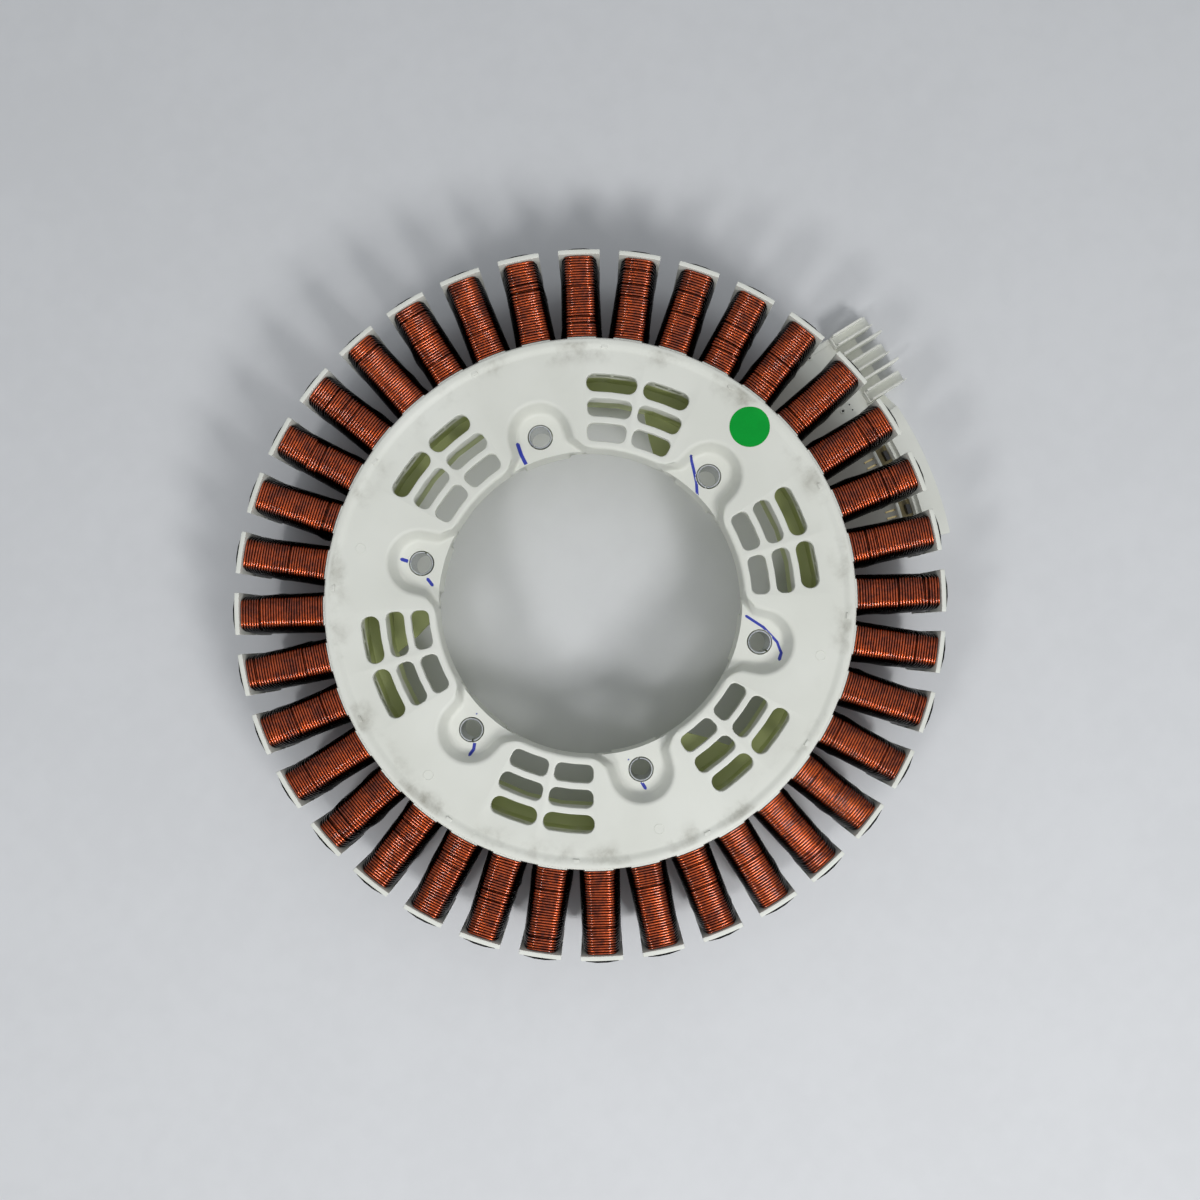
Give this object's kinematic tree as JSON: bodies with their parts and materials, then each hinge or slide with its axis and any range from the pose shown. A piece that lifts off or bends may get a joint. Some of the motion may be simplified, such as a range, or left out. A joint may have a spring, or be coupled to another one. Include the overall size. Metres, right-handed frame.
{
  "type": "wound stator",
  "caption": "Wound stator of an outer-rotor drum motor: copper coils on the teeth of a steel ring, held in a white moulded ring with bolt bosses, vent slots and a side connector.",
  "frame": {"origin": "centre of the circle of mounting holes, on the mounting face under the bosses", "axes": "+Z along the motor axis towards the rotor side, +X through mounting hole 1"},
  "size_m": [0.2935, 0.2652, 0.053],
  "materials": {
    "white_plastic": "satin moulded",
    "enamelled_copper": "clear enamel over copper",
    "core_steel": "dark lamination edges",
    "bushing_steel": "zinc plated",
    "terminal_brass": "tinned",
    "board_resin": "matt",
    "black_resin": "matt"
  },
  "bodies": {
    "root": {"bushings": "bushing_steel", "coil_01": "enamelled_copper", "coil_02": "enamelled_copper", "coil_03": "enamelled_copper", "coil_04": "enamelled_copper", "coil_05": "enamelled_copper", "coil_06": "enamelled_copper", "coil_07": "enamelled_copper", "coil_08": "enamelled_copper", "coil_09": "enamelled_copper", "coil_10": "enamelled_copper", "coil_11": "enamelled_copper", "coil_12": "enamelled_copper", "coil_13": "enamelled_copper", "coil_14": "enamelled_copper", "coil_15": "enamelled_copper", "coil_16": "enamelled_copper", "coil_17": "enamelled_copper", "coil_18": "enamelled_copper", "coil_19": "enamelled_copper", "coil_20": "enamelled_copper", "coil_21": "enamelled_copper", "coil_22": "enamelled_copper", "coil_23": "enamelled_copper", "coil_24": "enamelled_copper", "coil_25": "enamelled_copper", "coil_26": "enamelled_copper", "coil_27": "enamelled_copper", "coil_28": "enamelled_copper", "coil_29": "enamelled_copper", "coil_30": "enamelled_copper", "coil_31": "enamelled_copper", "coil_32": "enamelled_copper", "coil_33": "enamelled_copper", "coil_34": "enamelled_copper", "coil_35": "enamelled_copper", "coil_36": "enamelled_copper", "connector_housing": "white_plastic", "core_stack": "core_steel", "crossover_wire_1": "enamelled_copper", "crossover_wire_2": "enamelled_copper", "crossover_wire_3": "enamelled_copper", "hall_sensors": "black_resin", "lower_insulator": "white_plastic", "power_terminals": "terminal_brass", "sensor_board": "board_resin", "sensor_housing": "white_plastic", "sensor_pins": "terminal_brass", "upper_insulator": "white_plastic"}
  },
  "joints": []
}
